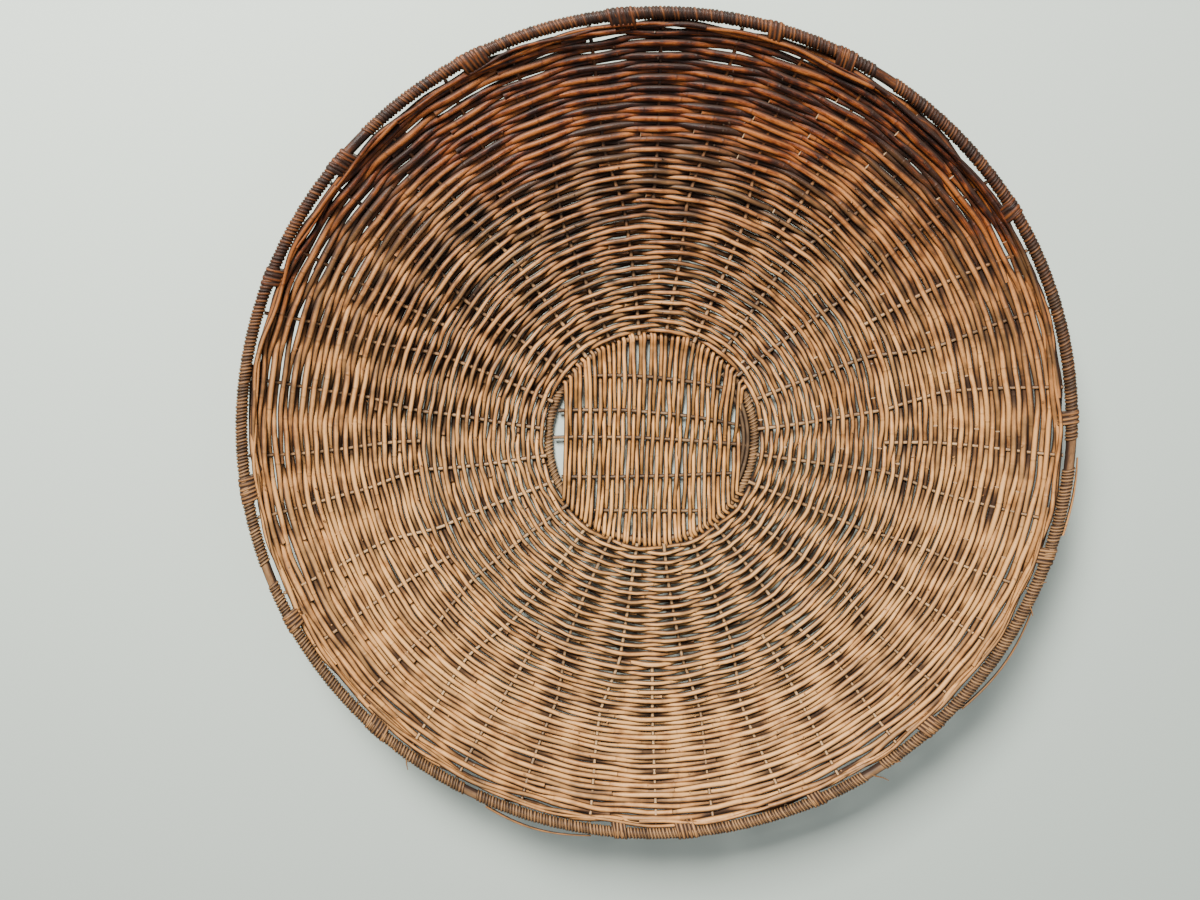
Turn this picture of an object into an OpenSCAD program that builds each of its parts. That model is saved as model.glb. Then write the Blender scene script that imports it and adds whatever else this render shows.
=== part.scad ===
// Round winnowing basket of woven willow, lying flat with its open side up.
// Millimetres, +Z up, origin at the middle of the underside of the centre hoop.

/* [Rim] */
// Diameter of the basket over the lapped rim
rim_d = 880; // [760:10:1000]
// Height of the rim hoop above the foot of the wall
wall_rise = 85; // [60:1:120]
// How sharply the wall turns up towards the rim
wall_curve = 3; // [2:0.1:4]
// Diameter of the bare rim hoop
rim_hoop_d = 10; // [8:0.5:14]
// Thickness of the split willow lapped round the rim
rim_lapping_t = 1.3; // [0.8:0.1:2]
// Thickness of the coarser bindings laid over the lapping
binding_t = 1.1; // [0.8:0.1:2]

/* [Centre] */
// Diameter of the centre panel over its lapped hoop
centre_d = 247.4; // [200:1:300]
// Diameter of the bare centre hoop
centre_hoop_d = 9.2; // [8:0.2:12]
// Thickness of the lapping round the centre hoop
centre_lapping_t = 0.8; // [0.5:0.1:1.5]
// Depth worn off the underside of the centre hoop
centre_wear = 0.1; // [0.05:0.05:0.4]
// Thickness of the five cross rods of the centre panel
cross_rod_d = 4.6; // [3.5:0.1:6]
// Thickness of the fine rods woven over the cross rods
panel_rod_d = 4; // [3:0.1:5]
// Room left empty at either side of the fine rods
panel_side_gap = 20; // [18:0.5:40]
// Spacing of the fine rods
panel_rod_pitch = 5.3; // [5.2:0.1:5.8]

/* [Stakes] */
// Thickness of the stakes that fan out to the rim
stake_d = 5; // [4:0.1:7]
// Groups of stakes, each of two main stakes and one added stake
group_count = 12; // [8:1:14]
// Radius at which the added stakes start
seam_r = 262; // [220:1:300]

/* [Weaving] */
// Thickness of the weaving rods inside the seam
inner_rod_d = 4.4; // [3.5:0.1:5]
// Thickness of the weaving rods outside the seam
outer_rod_d = 4.8; // [4:0.1:5.2]
// Least room between two rounds of weaving side by side
round_gap = 0.4; // [0.35:0.05:2]
// Room between a weaving rod and the stake it passes
weave_clearance = 0.35; // [0.3:0.05:0.6]
// Gap between the ends of two rods laid end to end
rod_end_gap = 1; // [0.6:0.1:3]

/* [Hidden] */
$fn = 96;

// Half the side of a square of the same area as a round rod one unit thick
square_half = sqrt(PI) / 4;

// Rim and wall
rim_lapped_r = rim_hoop_d / 2 + rim_lapping_t;
rim_r = rim_d / 2 - rim_lapped_r;
centre_lapped_r = centre_hoop_d / 2 + centre_lapping_t;
centre_r = centre_d / 2 - centre_lapped_r;
centre_z = centre_hoop_d / 2 - centre_wear;

// Stakes start on the outer shoulder of the centre hoop
tail_reach = 3.2;
tail_r = centre_r + tail_reach;
tail_seat = centre_lapped_r + stake_d / 2 + weave_clearance;
tail_z = centre_z + sqrt(tail_seat * tail_seat - tail_reach * tail_reach);
rim_z = tail_z + wall_rise;

// Centre panel
panel_swing = (cross_rod_d + panel_rod_d) / 2 + weave_clearance;
panel_z = panel_swing + panel_rod_d / 2 + 0.5;
panel_rod_count = 2 * floor((centre_r - panel_side_gap) / panel_rod_pitch) + 1;
cross_rod_places = [72, 35, 5, -41, -80];

// Stretches of the rim, in degrees, where the fine lapping is complete
rim_lapped_arcs = [[2, 58], [61, 132], [136, 196], [199, 241], [243, 303], [306, 358]];
// Middles of the coarse bindings along the rim
rim_binding_places = [5, 35, 65, 75, 95, 115, 137, 155, 185, 205, 225, 265, 275, 295, 315, 345];
binding_arc = 4;
// Stretches of the centre hoop whose lapping shows
centre_lapped_arcs = [[149, 207], [-32, 26]];

// Two-figure name of a pair of weaving rounds
function weft_name(pair) = str("weft_pair_", pair < 10 ? "0" : "", pair);

// Height of the middle of the wall at a radius
function wall_part(r) = max(0, r - tail_r) / (rim_r - tail_r);
function wall_z(r) = tail_z + wall_rise * pow(wall_part(r), wall_curve);
function wall_slope(r) = wall_rise * wall_curve * pow(wall_part(r), wall_curve - 1) / (rim_r - tail_r);

// Directions at a radius and an angle: along the wall outward, and square to it
function wall_out(r, a) = unit([cos(a), sin(a), wall_slope(r)]);
function wall_up(r, a) = unit([-wall_slope(r) * cos(a), -wall_slope(r) * sin(a), 1]);
function wall_point(r, a, lift) = [r * cos(a), r * sin(a), wall_z(r)] + lift * wall_up(r, a);
function unit(v) = v / norm(v);

// Angle of a stake: main stakes part to make room for the added one
group_angle = 360 / group_count;
parting_length = 60;
function parting(r) = min(1, max(0, (r - seam_r) / parting_length));
function spread(r) = group_angle * (1 / 4 + parting(r) / 12);
function main_angle(i, r) = group_angle * floor(i / 2) + (i % 2 == 0 ? -1 : 1) * spread(r);
function full_angle(i, r) = group_angle * floor(i / 3) + (i % 3 - 1) * spread(r);
function stake_angle(i, r) = r < seam_r ? main_angle(i, r) : full_angle(i, r);
function stake_count(r) = r < seam_r ? 2 * group_count : 3 * group_count;

// A rod is a list of stations, each a point and the two directions of its section
function corners(s, h) = [for (c = [[1, 1], [1, -1], [-1, -1], [-1, 1]])
    s[0] + h * (c[0] * s[1] + c[1] * s[2])];
function side_faces(o, k) = [
    [o + k, o + 4 + (k + 1) % 4, o + (k + 1) % 4],
    [o + k, o + 4 + k, o + 4 + (k + 1) % 4]];
function rod_faces(m, o) = concat(
    [for (i = [0:m - 2], k = [0:3]) each side_faces(o + 4 * i, k)],
    [[o, o + 1, o + 2], [o, o + 2, o + 3]],
    [for (e = [o + 4 * m - 4]) each [[e, e + 2, e + 1], [e, e + 3, e + 2]]]);
function stations_before(rods, n) = n == 0 ? 0 : len(rods[n - 1]) + stations_before(rods, n - 1);

// Several square-sectioned rods as one mesh of separate closed shells
module rods(list, thickness) {
    half = thickness * square_half;
    polyhedron(
        points = [for (rod = list) for (s = rod) each corners(s, half)],
        faces = [for (n = [0:len(list) - 1]) each rod_faces(len(list[n]), 4 * stations_before(list, n))]);
}

// Radii of the rounds, spaced evenly along the curve of the wall
first_round_r = tail_r + inner_rod_d;
seam_gap = (inner_rod_d + outer_rod_d) / 2 + 1;
last_round_r = rim_r - rim_lapped_r - outer_rod_d;
function wall_length(r0, r1, steps = 40) = let (d = (r1 - r0) / steps)
    d * sum([for (i = [0:steps - 1]) norm([1, wall_slope(r0 + (i + 0.5) * d)])]);
function sum(v, i = 0) = i < len(v) ? v[i] + sum(v, i + 1) : 0;
function along_wall(r0, s, steps = 24) = steps == 0 ? r0 :
    along_wall(r0 + s / steps / norm([1, wall_slope(r0)]), s * (steps - 1) / steps, steps - 1);
inner_length = seam_r - seam_gap / 2 - first_round_r;
outer_start_r = seam_r + seam_gap / 2;
outer_length = wall_length(outer_start_r, last_round_r);

// Rounds come in pairs, as many as fit
least_pitch = max(inner_rod_d, outer_rod_d) + round_gap;
function rounds_in(length) = 2 * floor((length / least_pitch + 1) / 2);
inner_rounds = rounds_in(inner_length);
outer_rounds = rounds_in(outer_length);
inner_pitch = inner_length / (inner_rounds - 1);
outer_pitch = outer_length / (outer_rounds - 1);
pair_count = (inner_rounds + outer_rounds) / 2;
function round_r(j) = j < inner_rounds ? first_round_r + j * inner_pitch :
    along_wall(outer_start_r, (j - inner_rounds) * outer_pitch);

// One rod of a round, from one stake to another, passing over and under in turn
function weave_swing(d) = (stake_d + d) / 2 + weave_clearance;
function weave_station(r, a, lift) = [wall_point(r, a, lift), wall_out(r, a), wall_up(r, a)];
function round_rod(j, r, d, from, to) = let (
        n = stake_count(r),
        swing = weave_swing(d),
        trim = rod_end_gap / 2 / r * 180 / PI)
    [for (i = [from:to]) let (
            a = stake_angle(i % n, r) + 360 * floor(i / n),
            end = i == from ? trim : i == to ? -trim : 0)
        weave_station(r, a + end, (i + j) % 2 == 0 ? swing : -swing)];
function rods_in_round(r) = r < 200 ? 1 : r < 330 ? 2 : 3;
function round_rods(j) = let (
        r = round_r(j),
        d = j < inner_rounds ? inner_rod_d : outer_rod_d,
        n = stake_count(r),
        count = rods_in_round(r),
        start = (j * 7) % n + ((j * 7) % n + j + 1) % 2,
        step = 2 * floor(n / count / 2))
    [for (k = [0:count - 1])
        round_rod(j, r, d, start + k * step, k == count - 1 ? start + n : start + (k + 1) * step)];

// Stakes follow the middle of the wall
stake_end_r = rim_r - (rim_lapped_r + 0.2) / norm([1, wall_slope(rim_r)]);
function stake_station(i, r, full) = let (a = full ? full_angle(i, r) : main_angle(i, r))
    [wall_point(r, a, 0), [-sin(a), cos(a), 0], wall_up(r, a)];
function mix(a, b, t) = a + (b - a) * t;
parting_stops = [for (t = [0, 0.5, 1]) seam_r + t * parting_length];
outer_stops = [for (t = [0.27, 0.54, 0.78, 1]) mix(seam_r + parting_length, stake_end_r, t)];
added_stake_stops = concat(parting_stops, outer_stops);
main_stake_stops = concat([for (t = [0, 0.45, 0.75]) mix(tail_r, seam_r, t)], added_stake_stops);

module main_stakes() {
    color("peru") rods(
        [for (i = [0:2 * group_count - 1])
            [for (r = main_stake_stops) stake_station(i, r, false)]],
        stake_d);
}

module added_stakes() {
    color("burlywood") rods(
        [for (g = [0:group_count - 1])
            [for (r = added_stake_stops) stake_station(3 * g + 1, r, true)]],
        stake_d);
}

// Pair of rounds: one rod passes over the stakes that the other passes under
module weft_pair(pair) {
    d = 2 * pair <= inner_rounds ? inner_rod_d : outer_rod_d;
    tone = pair % 3 == 0 ? "sienna" : pair % 3 == 1 ? "peru" : "chocolate";
    color(tone) rods([for (j = [2 * pair - 2, 2 * pair - 1]) each round_rods(j)], d);
}

// Room between a hoop and the lapping laid round it
lapping_clearance = 0.05;

// Full round hoop, or part of one, lying flat at a height
module hoop(r, z, outer, inner, from, to) {
    translate([0, 0, z]) rotate([0, 0, from]) rotate_extrude(angle = to - from) translate([r, 0]) {
        difference() {
            circle(r = outer);
            if (inner > 0) circle(r = inner);
        }
    }
}

module worn_flat() {
    difference() {
        children();
        translate([0, 0, -centre_d]) cube([2 * centre_d, 2 * centre_d, 2 * centre_d], center = true);
    }
}

module centre_hoop() {
    color("saddlebrown") worn_flat() hoop(centre_r, centre_z, centre_hoop_d / 2, 0, 0, 360);
}

module centre_lapping() {
    color("tan") for (arc = centre_lapped_arcs)
        worn_flat() hoop(centre_r, centre_z, centre_lapped_r, centre_hoop_d / 2 + lapping_clearance, arc[0], arc[1]);
}

// Cross rods end against the inside of the centre hoop
cross_reach = centre_r - centre_lapped_r - 0.3;
function cross_half(y) = sqrt(cross_reach * cross_reach - pow(abs(y) + cross_rod_d / 2, 2));

module centre_cross_rods() {
    color("saddlebrown") for (y = cross_rod_places)
        translate([-cross_half(y), y, panel_z]) rotate([0, 90, 0])
            cylinder(d = cross_rod_d, h = 2 * cross_half(y));
}

// Fine rods pass over and under the cross rods and turn up onto the hoop
panel_end_r = centre_r - 0.6;
panel_end_z = centre_z + (centre_hoop_d + panel_rod_d) / 2 + weave_clearance;
panel_bend_in = 11;
panel_settle = 9;
function panel_reach(x, r) = sqrt(r * r - x * x);
function crosses(x, y) = abs(x) < cross_half(y) + panel_rod_d;
function panel_rod(n) = let (
        x = (n - (panel_rod_count - 1) / 2) * panel_rod_pitch,
        end = panel_reach(x, panel_end_r),
        bend = panel_reach(x, panel_end_r - panel_bend_in),
        crossed = [for (k = [0:len(cross_rod_places) - 1]) if (crosses(x, cross_rod_places[k])) k],
        first = cross_rod_places[crossed[0]],
        last = cross_rod_places[crossed[len(crossed) - 1]])
    concat(
        [[x, end, panel_end_z]],
        first < bend - panel_settle ? [[x, bend, panel_z]] : [],
        [for (k = crossed) let (
                y = cross_rod_places[k],
                over = abs(y) > bend - panel_settle || (k + n) % 2 == 0)
            [x, y, panel_z + (over ? 1 : -1) * panel_swing]],
        last > panel_settle - bend ? [[x, -bend, panel_z]] : [],
        [[x, -end, panel_end_z]]);

module centre_panel_rods() {
    color("sandybrown") rods(
        [for (n = [0:panel_rod_count - 1]) [for (p = panel_rod(n)) [p, [1, 0, 0], [0, 0, 1]]]],
        panel_rod_d);
}

module rim_hoop() {
    color("saddlebrown") hoop(rim_r, rim_z, rim_hoop_d / 2, 0, 0, 360);
}

module rim_lapping() {
    color("tan") for (arc = rim_lapped_arcs)
        hoop(rim_r, rim_z, rim_lapped_r, rim_hoop_d / 2 + lapping_clearance, arc[0], arc[1]);
}

module rim_bindings() {
    inner = rim_lapped_r + lapping_clearance;
    color("chocolate") for (a = rim_binding_places)
        hoop(rim_r, rim_z, rim_lapped_r + binding_t, inner, a - binding_arc / 2, a + binding_arc / 2);
}

// Loose ends of rods that have sprung out round the outside of the rim
stray_arcs = [[245, 261, 8], [320, 337, 7], [348.5, 359.5, 3]];
stray_rod_d = 3.6;
function stray_rod(arc) = [for (t = [0:0.1:1]) let (
        a = mix(arc[0], arc[1], t),
        r = rim_d / 2 + stray_rod_d / 2 + 0.1 + arc[2] * sin(180 * t),
        z = rim_z - 3 * sin(180 * t))
    [[r * cos(a), r * sin(a), z], [cos(a), sin(a), 0], [0, 0, 1]]];

module stray_rods() {
    color("peru") rods([for (arc = stray_arcs) stray_rod(arc)], stray_rod_d);
}

centre_hoop();
centre_lapping();
centre_cross_rods();
centre_panel_rods();
main_stakes();
added_stakes();
rim_hoop();
rim_lapping();
rim_bindings();
stray_rods();
for (pair = [1:pair_count]) weft_pair(pair);
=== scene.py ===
"""Looks of a round willow winnowing basket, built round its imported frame.

The basket lies flat with its open side up. Each sub-assembly is a class that
takes its place from the frame's own boxes, models its rods and lapping with
bmesh operators, and dresses them in procedural willow finishes.
"""

import logging
import math
import random
from dataclasses import dataclass, field
from enum import Enum

import bmesh
import bpy
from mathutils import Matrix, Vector, noise


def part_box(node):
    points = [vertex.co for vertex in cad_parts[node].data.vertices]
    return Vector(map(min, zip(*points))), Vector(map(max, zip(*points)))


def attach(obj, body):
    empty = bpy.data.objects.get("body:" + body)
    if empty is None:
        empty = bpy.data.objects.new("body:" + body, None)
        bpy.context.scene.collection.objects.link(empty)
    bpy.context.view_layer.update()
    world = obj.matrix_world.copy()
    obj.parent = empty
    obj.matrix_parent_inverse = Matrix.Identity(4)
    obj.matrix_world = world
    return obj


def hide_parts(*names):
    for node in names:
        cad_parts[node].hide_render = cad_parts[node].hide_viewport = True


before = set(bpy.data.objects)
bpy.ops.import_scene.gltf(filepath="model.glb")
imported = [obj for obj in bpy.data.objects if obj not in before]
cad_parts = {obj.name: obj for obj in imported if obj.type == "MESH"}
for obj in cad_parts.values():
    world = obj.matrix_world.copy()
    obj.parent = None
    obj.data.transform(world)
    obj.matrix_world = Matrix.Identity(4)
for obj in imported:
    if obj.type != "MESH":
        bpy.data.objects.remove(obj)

log = logging.getLogger("winnowing_basket")
MM = 0.001
UPRIGHT = Vector((0.0, 0.0, 1.0))
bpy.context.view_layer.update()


# --------------------------------------------------------------------------
# Finishes
# --------------------------------------------------------------------------

Colour = tuple[float, float, float]


@dataclass(frozen=True)
class WillowFinish:
    """Colours and surface of one kind of willow on the basket.

    Args:
        name: Name of the material.
        slot: Material slot of the record that the finish belongs to; not used.
        shade: Colour of the darkest bark.
        body: Colour of ordinary bark.
        light: Colour of the palest bark.
        worn_highlight: Colour of a rod's crown, partly rubbed by hands and grain and partly a
            painted highlight on the side that faces up.
        wear_and_highlight: How strongly the crowns are lightened by wear and painted highlight,
            0 to 1.
        shading: How strongly the flanks are darkened with painted shade, 0 to 1.
        roughness: Roughness of clean bark.
        streaks: Number of grain streaks round a rod.
        bud_spacing: Distance between leaf scars along a rod, in metres.
        relief: Depth of the bark's relief, in metres.
    """

    name: str
    slot: str
    shade: Colour
    body: Colour
    light: Colour
    worn_highlight: Colour
    wear_and_highlight: float = 0.72
    grime: float = 0.93
    roughness: float = 0.36
    streaks: float = 1.6
    bud_spacing: float = 0.075
    relief: float = 0.0005


class Willow(Enum):
    """The willow finishes of the basket."""

    WEAVING = WillowFinish(
        name="weaving_willow", slot="weaving_willow",
        shade=(0.036, 0.011, 0.004), body=(0.230, 0.076, 0.017),
        light=(0.520, 0.205, 0.046), worn_highlight=(0.800, 0.415, 0.145))
    PANEL = WillowFinish(
        name="panel_willow", slot="pale_willow",
        shade=(0.050, 0.015, 0.004), body=(0.300, 0.100, 0.020),
        light=(0.580, 0.225, 0.046), worn_highlight=(0.850, 0.420, 0.125), grime=0.95)
    STAKE = WillowFinish(
        name="stake_willow", slot="stake_willow",
        shade=(0.060, 0.026, 0.011), body=(0.230, 0.112, 0.042),
        light=(0.420, 0.235, 0.100), worn_highlight=(0.560, 0.350, 0.170), wear_and_highlight=0.6)
    CROSS = WillowFinish(
        name="cross_willow", slot="dark_willow",
        shade=(0.022, 0.010, 0.005), body=(0.085, 0.041, 0.018),
        light=(0.210, 0.116, 0.052), worn_highlight=(0.360, 0.225, 0.115), wear_and_highlight=0.4)
    HOOP = WillowFinish(
        name="hoop_willow", slot="hoop_rod",
        shade=(0.032, 0.014, 0.007), body=(0.115, 0.052, 0.021),
        light=(0.250, 0.125, 0.050), worn_highlight=(0.380, 0.215, 0.095), bud_spacing=0.16)
    LAPPING = WillowFinish(
        name="lapping_willow", slot="split_willow",
        shade=(0.028, 0.012, 0.005), body=(0.135, 0.060, 0.021),
        light=(0.290, 0.145, 0.055), worn_highlight=(0.440, 0.250, 0.105),
        streaks=5.0, bud_spacing=5.0, relief=0.0003)
    BINDING = WillowFinish(
        name="binding_willow", slot="binding_willow",
        shade=(0.034, 0.013, 0.005), body=(0.175, 0.068, 0.020),
        light=(0.340, 0.150, 0.048), worn_highlight=(0.480, 0.250, 0.090),
        streaks=5.0, bud_spacing=5.0, relief=0.0003)


class Graph:
    """A thin helper that adds and joins nodes in one node tree."""

    def __init__(self, tree: bpy.types.NodeTree) -> None:
        """Start on a tree.

        Args:
            tree: Tree of a material or of a node group.
        """
        self.tree = tree

    def add(self, kind: str, settings: dict | None = None,
            **inputs: object) -> bpy.types.Node:
        """Add a node and fill its sockets.

        Args:
            kind: Type of the node.
            settings: Properties of the node itself.
            inputs: Values or sockets by input name, with _ for a space.

        Returns:
            The new node.
        """
        node = self.tree.nodes.new(kind)
        for key, value in (settings or {}).items():
            setattr(node, key, value)
        for key, value in inputs.items():
            self.feed(node.inputs[key.replace("_", " ")], value)
        return node

    def feed(self, socket: bpy.types.NodeSocket, value: object) -> None:
        """Give a socket a value or a link.

        Args:
            socket: Input socket to fill.
            value: A plain value or an output socket.
        """
        if isinstance(value, bpy.types.NodeSocket):
            self.tree.links.new(value, socket)
        else:
            socket.default_value = value

    def math(self, operation: str, a: object, b: object = 0.0,
             clamp: bool = False) -> bpy.types.NodeSocket:
        """Add a Math node.

        Args:
            operation: Name of the operation.
            a: First operand.
            b: Second operand.
            clamp: Whether the result is kept from 0 to 1.

        Returns:
            The output socket.
        """
        node = self.add("ShaderNodeMath", {"operation": operation, "use_clamp": clamp})
        self.feed(node.inputs[0], a)
        self.feed(node.inputs[1], b)
        return node.outputs[0]

    def centred(self, value: object, weight: float) -> bpy.types.NodeSocket:
        """Return how far a value from 0 to 1 lies from its middle, times a weight."""
        return self.math("MULTIPLY", self.math("SUBTRACT", value, 0.5), weight)

    def mix(self, factor: object, a: object, b: object,
            blend: str = "MIX") -> bpy.types.NodeSocket:
        """Add a colour Mix node.

        Args:
            factor: Share of the second colour.
            a: First colour.
            b: Second colour.
            blend: Blend mode.

        Returns:
            The output socket.
        """
        node = self.add("ShaderNodeMix", {"data_type": "RGBA", "blend_type": blend})
        self.feed(node.inputs["Factor"], factor)
        self.feed(node.inputs[6], a)
        self.feed(node.inputs[7], b)
        return node.outputs[2]

    def ramp(self, factor: object, stops: list[tuple[float, tuple]]) -> bpy.types.NodeSocket:
        """Add a Color Ramp.

        Args:
            factor: Position along the ramp.
            stops: Positions with their colours.

        Returns:
            The colour output socket.
        """
        node = self.tree.nodes.new("ShaderNodeValToRGB")
        elements = node.color_ramp.elements
        while len(elements) < len(stops):
            elements.new(0.5)
        for element, (place, colour) in zip(elements, stops):
            element.position = place
            element.color = (*colour, 1.0)
        self.feed(node.inputs[0], factor)
        return node.outputs[0]


def rgba(colour: Colour) -> tuple[float, float, float, float]:
    """Return a colour with full alpha."""
    return (*colour, 1.0)


def new_group(name: str, inputs: dict[str, str],
              outputs: dict[str, str]) -> bpy.types.NodeTree:
    """Make an empty shader node group.

    Args:
        name: Name of the group.
        inputs: Socket types by input name.
        outputs: Socket types by output name.

    Returns:
        The group's tree, with its input and output nodes in place.
    """
    tree = bpy.data.node_groups.new(name, "ShaderNodeTree")
    for label, kind in inputs.items():
        tree.interface.new_socket(label, in_out="INPUT", socket_type=kind)
    for label, kind in outputs.items():
        tree.interface.new_socket(label, in_out="OUTPUT", socket_type=kind)
    tree.nodes.new("NodeGroupInput")
    tree.nodes.new("NodeGroupOutput")
    return tree


class BarkGroups:
    """The node groups that every willow finish shares, built once.

    The constants are densities per metre, sizes in metres, and how much each
    kind of mark counts.
    """

    FLOAT = "NodeSocketFloat"
    COLOUR = "NodeSocketColor"
    TONE_SHIFT = 7.3
    GRAIN_PER_METRE = 45.0
    GRAIN_SCALE = 1.6
    SCAR_HALF_WIDTH = 0.0018
    SCAR_HEIGHT = 0.7
    PORE_SCALE = 900.0
    PORE_LEVEL = 0.3
    PORE_EDGE = 0.12
    PORE_DEPTH = 0.25
    ZONE_SCALE = 7.0
    MOTTLE_SCALE = 55.0
    TONE_WEIGHT = 1.0
    GRAIN_WEIGHT = 1.7
    MOTTLE_WEIGHT = 1.9
    ZONE_WEIGHT = 0.9
    MIDDLE = 0.55
    SHADE_AND_STAIN_SWAY = 0.35
    SHADE_AND_STAIN_SHIFT = 0.06
    SHADE_AND_STAIN_SLOPE = 2.6
    SHADE_AND_STAIN_DARKENS = 0.05
    RIM_DARKENING_RADIUS = 0.36
    RIM_DARKENING_SLOPE = 9.0
    RUB_HIGHLIGHT_SHARPNESS = 4.0
    RUB_HIGHLIGHT_PATCHES = 1.9
    FLANK_START = 0.11
    FLANK_EDGE = 0.34
    # Colour of the painted shade on the flanks of rods.
    FLANK_SHADE = (0.022, 0.009, 0.004)

    def __init__(self) -> None:
        """Build the grain, bark and grime groups."""
        self.grain = self._grain()
        self.bark = self._bark()
        self.grime = self._crown_highlight_and_flank_shade()

    def _ends(self, tree: bpy.types.NodeTree) -> tuple[bpy.types.Node, bpy.types.Node]:
        """Return the input and output nodes of a group."""
        return tree.nodes["Group Input"], tree.nodes["Group Output"]

    def _noise(self, g: Graph, scale: float, detail: float) -> bpy.types.NodeSocket:
        """Return soft noise that stays with the basket."""
        body = g.add("ShaderNodeTexCoord").outputs["Object"]
        return g.add("ShaderNodeTexNoise", Vector=body, Scale=scale, Detail=detail).outputs[0]

    def _grain(self) -> bpy.types.NodeTree:
        """Grain that runs along a rod, leaf scars, and pores.

        Returns:
            A group that gives masks and a height.
        """
        tree = new_group(
            "rod_grain",
            {"Tone": self.FLOAT, "Streaks": self.FLOAT, "Bud Spacing": self.FLOAT},
            {"Grain": self.FLOAT, "Bud": self.FLOAT, "Pores": self.FLOAT, "Height": self.FLOAT})
        g = Graph(tree)
        given, result = self._ends(tree)
        spacing = given.outputs["Bud Spacing"]
        streaks = given.outputs["Streaks"]
        uv = g.add("ShaderNodeUVMap", {"uv_map": "UVMap"})
        parts = g.add("ShaderNodeSeparateXYZ", Vector=uv.outputs[0])
        turn = g.math("MULTIPLY", parts.outputs[1], math.tau)
        shift = g.math("MULTIPLY", given.outputs["Tone"], self.TONE_SHIFT)
        along = g.math("ADD", parts.outputs[0], shift)
        wrap = g.add(
            "ShaderNodeCombineXYZ",
            X=g.math("MULTIPLY", g.math("COSINE", turn), streaks),
            Y=g.math("MULTIPLY", g.math("SINE", turn), streaks),
            Z=g.math("MULTIPLY", along, self.GRAIN_PER_METRE))
        streak = g.add("ShaderNodeTexNoise", Vector=wrap.outputs[0], Scale=self.GRAIN_SCALE,
                       Detail=5.0, Roughness=0.62).outputs[0]
        place = g.math("FRACT", g.math("DIVIDE", along, spacing))
        near = g.math("ABSOLUTE", g.math("SUBTRACT", place, 0.5))
        gap = g.math("DIVIDE", g.math("MULTIPLY", near, spacing), self.SCAR_HALF_WIDTH)
        bud = g.math("SUBTRACT", 1.0, gap, clamp=True)
        fine = g.math("SUBTRACT", self._noise(g, self.PORE_SCALE, 2.0), self.PORE_LEVEL)
        pores = g.math("SUBTRACT", 1.0, g.math("DIVIDE", fine, self.PORE_EDGE), clamp=True)
        height = g.math("ADD", streak, g.math("MULTIPLY", bud, self.SCAR_HEIGHT))
        height = g.math("SUBTRACT", height, g.math("MULTIPLY", pores, self.PORE_DEPTH))
        made = {"Grain": streak, "Bud": bud, "Pores": pores, "Height": height}
        for label, value in made.items():
            g.feed(result.inputs[label], value)
        return tree

    def _bark(self) -> bpy.types.NodeTree:
        """Bark colour from the rod's own tone, its grain and patches along the basket.

        Returns:
            A group that gives a value to read a colour ramp at, a mottling, and
            how dark the place is made: partly stain and partly painted shade towards
            +Y, where the wall faces away from the key light, and darker in patches
            near the rim.
        """
        tree = new_group(
            "bark_tone", {"Tone": self.FLOAT, "Grain": self.FLOAT},
            {"Value": self.FLOAT, "Patch": self.FLOAT, "ShadeAndStain": self.FLOAT})
        g = Graph(tree)
        given, result = self._ends(tree)
        zone = self._noise(g, self.ZONE_SCALE, 2.0)
        mottle = self._noise(g, self.MOTTLE_SCALE, 3.0)
        total = g.math("ADD", g.centred(given.outputs["Tone"], self.TONE_WEIGHT),
                       g.centred(given.outputs["Grain"], self.GRAIN_WEIGHT))
        patches = g.math("ADD", g.centred(mottle, self.MOTTLE_WEIGHT),
                         g.centred(zone, self.ZONE_WEIGHT))
        total = g.math("ADD", total, patches)
        body = g.add("ShaderNodeTexCoord").outputs["Object"]
        place = g.add("ShaderNodeSeparateXYZ", Vector=body)
        # Painted shade and stain: darker towards +Y, where the wall faces away from the key
        # light, and darker in patches near the rim.
        reach = g.math("ADD", place.outputs[1], g.centred(zone, self.SHADE_AND_STAIN_SWAY))
        reach = g.math("ADD", reach, self.SHADE_AND_STAIN_SHIFT)
        shade_and_stain = g.math("MULTIPLY", reach, self.SHADE_AND_STAIN_SLOPE, clamp=True)
        flat = g.add("ShaderNodeVectorMath", {"operation": "MULTIPLY"})
        g.feed(flat.inputs[0], body)
        flat.inputs[1].default_value = (1.0, 1.0, 0.0)
        length = g.add("ShaderNodeVectorMath", {"operation": "LENGTH"})
        g.feed(length.inputs[0], flat.outputs[0])
        edge = g.math("SUBTRACT", length.outputs["Value"], self.RIM_DARKENING_RADIUS)
        edge = g.math("MULTIPLY", edge, self.RIM_DARKENING_SLOPE, clamp=True)
        shade_and_stain = g.math("ADD", shade_and_stain, g.math("MULTIPLY", edge, mottle), clamp=True)
        total = g.math("SUBTRACT", total, g.math("MULTIPLY", shade_and_stain, self.SHADE_AND_STAIN_DARKENS))
        g.feed(result.inputs["ShadeAndStain"], shade_and_stain)
        g.feed(result.inputs["Value"], g.math("ADD", total, self.MIDDLE, clamp=True))
        g.feed(result.inputs["Patch"], mottle)
        return tree

    def _crown_highlight_and_flank_shade(self) -> bpy.types.NodeTree:
        """Painted shade on the flanks of a rod, and a crown lightened partly by rubbed bark and
        partly by a painted highlight.

        Returns:
            A group that gives a colour and a roughness mask.
        """
        tree = new_group(
            "crown_highlight_and_flank_shade",
            {"Color": self.COLOUR, "Worn": self.COLOUR, "Crown": self.FLOAT,
             "Patch": self.FLOAT, "Wear": self.FLOAT, "Grime": self.FLOAT},
            {"Color": self.COLOUR, "ShadeAndDirt": self.FLOAT})
        g = Graph(tree)
        given, result = self._ends(tree)
        crown = given.outputs["Crown"]
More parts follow.
